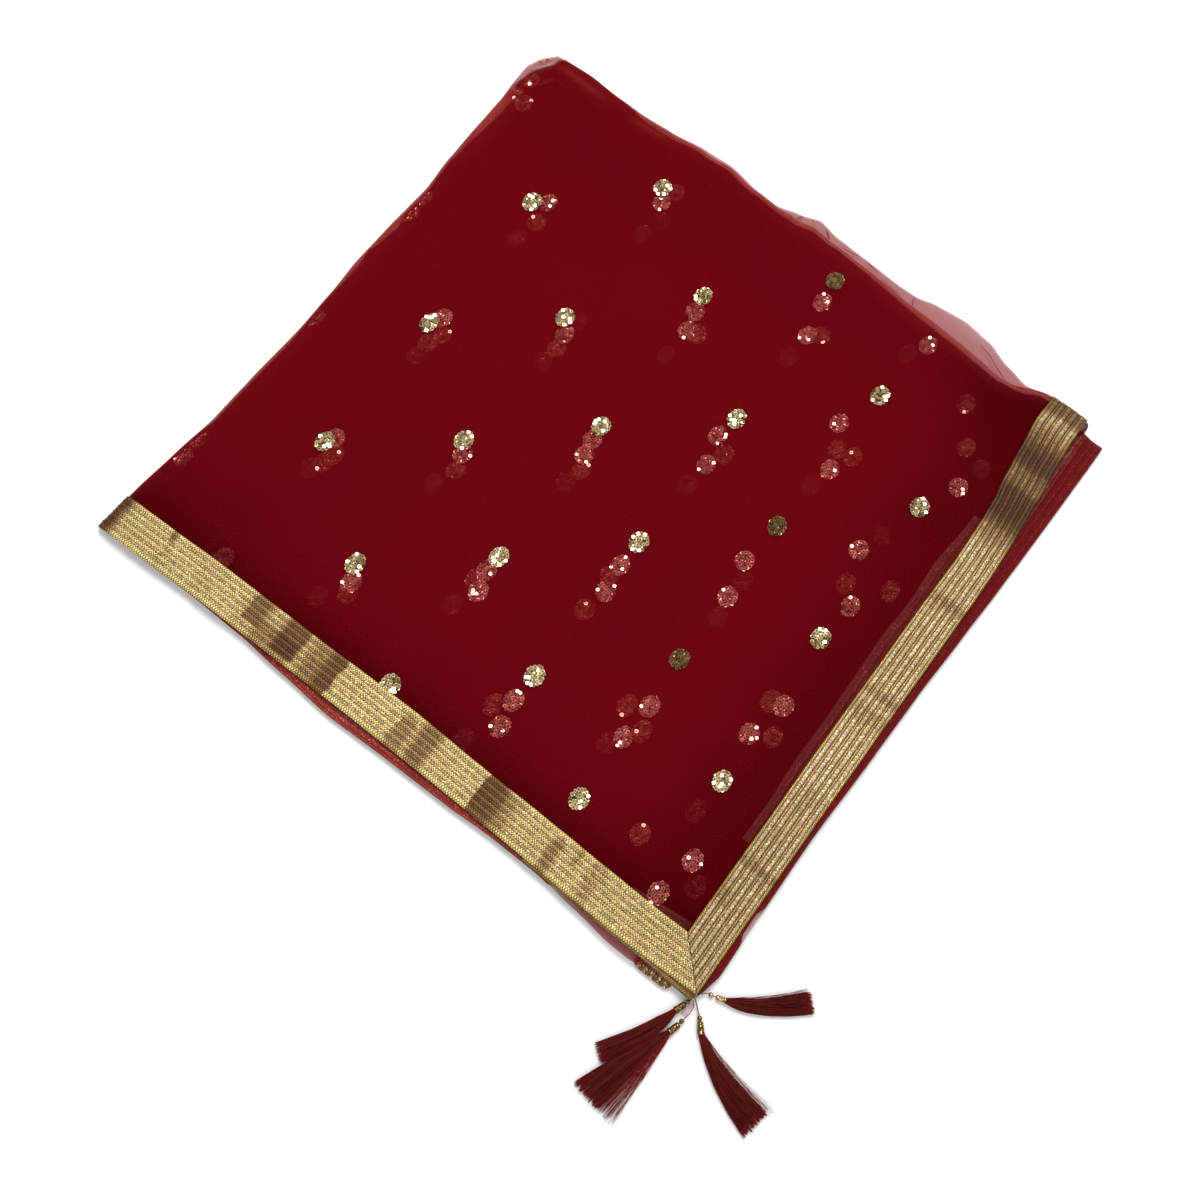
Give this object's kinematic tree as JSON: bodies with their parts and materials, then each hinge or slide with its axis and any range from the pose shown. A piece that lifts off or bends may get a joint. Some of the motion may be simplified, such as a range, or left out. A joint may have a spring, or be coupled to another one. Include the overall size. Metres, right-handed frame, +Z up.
{
  "type": "folded net dupatta stole",
  "caption": "Sheer maroon net dupatta stole folded into a flat square, with a mitred gold braid lace border, sequin flower motifs and maroon thread tassels at one corner.",
  "frame": {"origin": "on the flat underside, under the middle of the folded square", "axes": "+Z up out of the cloth's face; +X towards the laced end and +Y away from the laced long side, so the tassel corner is at +X -Y; metres"},
  "size_m": [0.6569, 0.6757, 0.0134],
  "materials": {
    "net": "sheer maroon nylon net",
    "net_layers": "stacked maroon net, nearly opaque",
    "net_single": "single layer of net, see-through",
    "lace": "gold cord and champagne braid lace",
    "lace_reverse": "gold lace seen from its net side",
    "tassel_yarn": "silky maroon thread",
    "gold_metal": "bright gold-plated cap and bead"
  },
  "bodies": {
    "root": {"hidden_layers": "net_layers", "second_layer": "net", "second_lace_side": "lace_reverse", "second_lace_end": "lace_reverse", "top_layer": "net", "top_lace_side": "lace", "top_lace_end": "lace", "corner_lace_tab": "lace_reverse", "corner_lace_fold": "lace_reverse", "corner_net_tail": "net_single", "tassel_1_skirt": "tassel_yarn", "tassel_1_cap": "gold_metal", "tassel_1_bead": "gold_metal", "tassel_1_thread": "tassel_yarn", "tassel_2_skirt": "tassel_yarn", "tassel_2_cap": "gold_metal", "tassel_2_bead": "gold_metal", "tassel_2_thread": "tassel_yarn", "tassel_3_skirt": "tassel_yarn", "tassel_3_cap": "gold_metal", "tassel_3_bead": "gold_metal", "tassel_3_thread": "tassel_yarn", "tassel_4_skirt": "tassel_yarn", "tassel_4_cap": "gold_metal", "tassel_4_bead": "gold_metal", "tassel_4_thread": "tassel_yarn"}
  },
  "joints": []
}
